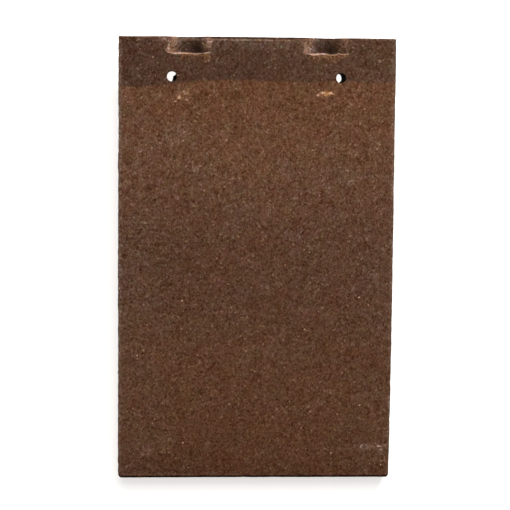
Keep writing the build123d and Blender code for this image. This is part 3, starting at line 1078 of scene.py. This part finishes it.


# Sparse cream specks, paler smears, pale and tan grains, dark grains, and black pits: the pits' hollows are painted
# nearly black, painted shade.
mask, tone = scattered(3.2, 0.17, 0.86, (5, 91, 33), 0)
colour = net.mix(net.mul(mask, net.step(tone, 0.0, 1.0, 0.2, 0.75)), colour, srgb(176, 142, 114))
mask, tone = scattered(5.4, 0.13, 0.80, (45, 11, 63), 1, (0.6, 1.2, 1.0))
colour = net.mix(net.mul(mask, net.step(tone, 0.0, 1.0, 0.1, 0.5)), colour, srgb(150, 116, 90))
mask, tone = scattered(1.9, 0.24, 0.80, (17, 5, 71), 2)
colour = net.mix(net.mul(mask, net.step(tone, 0.0, 1.0, 0.1, 0.55)), colour, srgb(150, 116, 92))
mask, tone = scattered(1.7, 0.28, 0.76, (37, 65, 3), 0)
colour = net.mix(net.mul(mask, net.step(tone, 0.0, 1.0, 0.15, 0.8)), colour, srgb(36, 18, 9))
mask, tone = scattered(5.0, 0.125, 0.82, (15, 71, 43), 2)
mask = net.mul(mask, net.step(Y, -30.0, 40.0, 1.0, 0.25))
colour = net.mix(net.mul(mask, net.step(tone, 0.0, 1.0, 0.35, 0.95)), colour, srgb(188, 148, 118))
# Painted shade: the pits are painted nearly black.
pit_mask, tone = scattered(2.6, 0.19, 0.80, (55, 31, 13), 1)
colour = net.mix(net.mul(pit_mask, 0.82), colour, srgb(26, 14, 8))

# Inside the nail holes the clay is painted nearly black: painted shade on the bore walls.
colour = net.mix(net.mul(bore_shade, 0.97), colour, srgb(9, 5, 3))

# Bump: what is finer than the mesh.
height = net.add(net.mul(grain, 0.55), net.mul(net.noise(net.shift(mm, 3, 3, 3), 0.45, 1.0, 0.5), 0.25))
height = net.add(height, net.mul(fleck, 0.5))
height = net.math("SUBTRACT", height, net.mul(pit_mask, 0.4))
bump = net.new("ShaderNodeBump")
bump.inputs["Strength"].default_value = 0.55
bump.inputs["Distance"].default_value = 0.00022
net.put(bump.inputs["Height"], height)

shader = net.new("ShaderNodeBsdfPrincipled")
net.put(shader.inputs["Base Color"], colour)
net.put(shader.inputs["Roughness"], net.step(fleck, 0.2, 0.8, 0.88, 1.0))
shader.inputs["Specular IOR Level"].default_value = 0.08
net.put(shader.inputs["Normal"], bump.outputs["Normal"])
out = net.new("ShaderNodeOutputMaterial")
net.tree.links.new(shader.outputs["BSDF"], out.inputs["Surface"])

mesh.materials.append(clay)
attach(tile, "root")
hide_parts("roof_tile")

# ---- stage ----------------------------------------------------------------
floor_mesh = bpy.data.meshes.new("floor")
s = 6.0
floor_mesh.from_pydata([(-s, -s, 0), (s, -s, 0), (s, s, 0), (-s, s, 0)], [], [(0, 1, 2, 3)])
floor = bpy.data.objects.new("floor", floor_mesh)
bpy.context.scene.collection.objects.link(floor)
pale = bpy.data.materials.new("pale_floor")
pale.use_nodes = True
base = pale.node_tree.nodes["Principled BSDF"]
base.inputs["Base Color"].default_value = (0.82, 0.815, 0.81, 1)
base.inputs["Roughness"].default_value = 1.0
base.inputs["Specular IOR Level"].default_value = 0.0
base.inputs["Emission Color"].default_value = (1.0, 0.98, 0.955, 1)
# Light table: even, and a little brighter below the two nail holes.
stage_nodes, stage_links = pale.node_tree.nodes, pale.node_tree.links
stage_place = stage_nodes.new("ShaderNodeTexCoord")
brighter = None
for x in (-0.0511, 0.0523):
    away = stage_nodes.new("ShaderNodeVectorMath")
    away.operation = "DISTANCE"
    stage_links.new(stage_place.outputs["Object"], away.inputs[0])
    away.inputs[1].default_value = (x, 0.1101, 0.0)
    glow = stage_nodes.new("ShaderNodeMapRange")
    glow.interpolation_type = "SMOOTHSTEP"
    stage_links.new(away.outputs["Value"], glow.inputs["Value"])
    glow.inputs["From Min"].default_value = 0.004
    glow.inputs["From Max"].default_value = 0.011
    glow.inputs["To Min"].default_value = 0.36
    glow.inputs["To Max"].default_value = 0.0
    if brighter is None:
        brighter = glow.outputs["Result"]
    else:
        both = stage_nodes.new("ShaderNodeMath")
        stage_links.new(brighter, both.inputs[0])
        stage_links.new(glow.outputs["Result"], both.inputs[1])
        brighter = both.outputs[0]
level = stage_nodes.new("ShaderNodeMath")
stage_links.new(brighter, level.inputs[0])
level.inputs[1].default_value = 0.588
stage_links.new(level.outputs[0], base.inputs["Emission Strength"])
floor_mesh.materials.append(pale)

scene = bpy.context.scene
world = bpy.data.worlds.new("studio")
scene.world = world
world.use_nodes = True
sky = world.node_tree.nodes["Background"]
sky.inputs["Color"].default_value = (1, 1, 1, 1)
# A pale backdrop beyond the floor, without more light from it.
seen = world.node_tree.nodes.new("ShaderNodeLightPath")
share = world.node_tree.nodes.new("ShaderNodeMapRange")
world.node_tree.links.new(seen.outputs["Is Camera Ray"], share.inputs["Value"])
share.inputs["To Min"].default_value = 0.30
share.inputs["To Max"].default_value = 0.86
world.node_tree.links.new(share.outputs["Result"], sky.inputs["Strength"])


def soft_light(name, place, target, size, power):
    light = bpy.data.lights.new(name, "AREA")
    light.shape = "RECTANGLE"
    light.size, light.size_y = size
    light.energy = power
    lamp = bpy.data.objects.new(name, light)
    lamp.location = place
    lamp.rotation_mode = "QUATERNION"
    lamp.rotation_quaternion = (Vector(target) - Vector(place)).to_track_quat("-Z", "Y")
    scene.collection.objects.link(lamp)
    return lamp


soft_light("key", (0.10, 0.95, 1.25), (0, 0, 0), (1.3, 1.0), 17.0)
soft_light("rake", (0.42, 1.25, 0.52), (0, 0, 0), (0.55, 0.25), 22.0)

# Camera: at the photo's angle, straight down within a few degrees.
view = Vector((0.04287, 0.05172, -0.00596))
turn = Quaternion(view.normalized(), view.length).to_matrix()
offset = Vector((-0.3253, -2.227, -915.5225))
camera_data = bpy.data.cameras.new("camera")
camera_data.sensor_width = 36.0
camera_data.lens = 36.0 * 1500.0 / 510.0
camera_data.clip_start = 0.01
camera_data.clip_end = 50.0
camera = bpy.data.objects.new("camera", camera_data)
rotation = turn.transposed()
place = -(rotation @ offset) / 1000
camera.matrix_world = Matrix.Translation(place) @ rotation.to_4x4()
scene.collection.objects.link(camera)
scene.camera = camera

scene.view_settings.view_transform = "Standard"
scene.view_settings.look = "None"
scene.view_settings.exposure = 0.0
scene.cycles.use_denoising = True
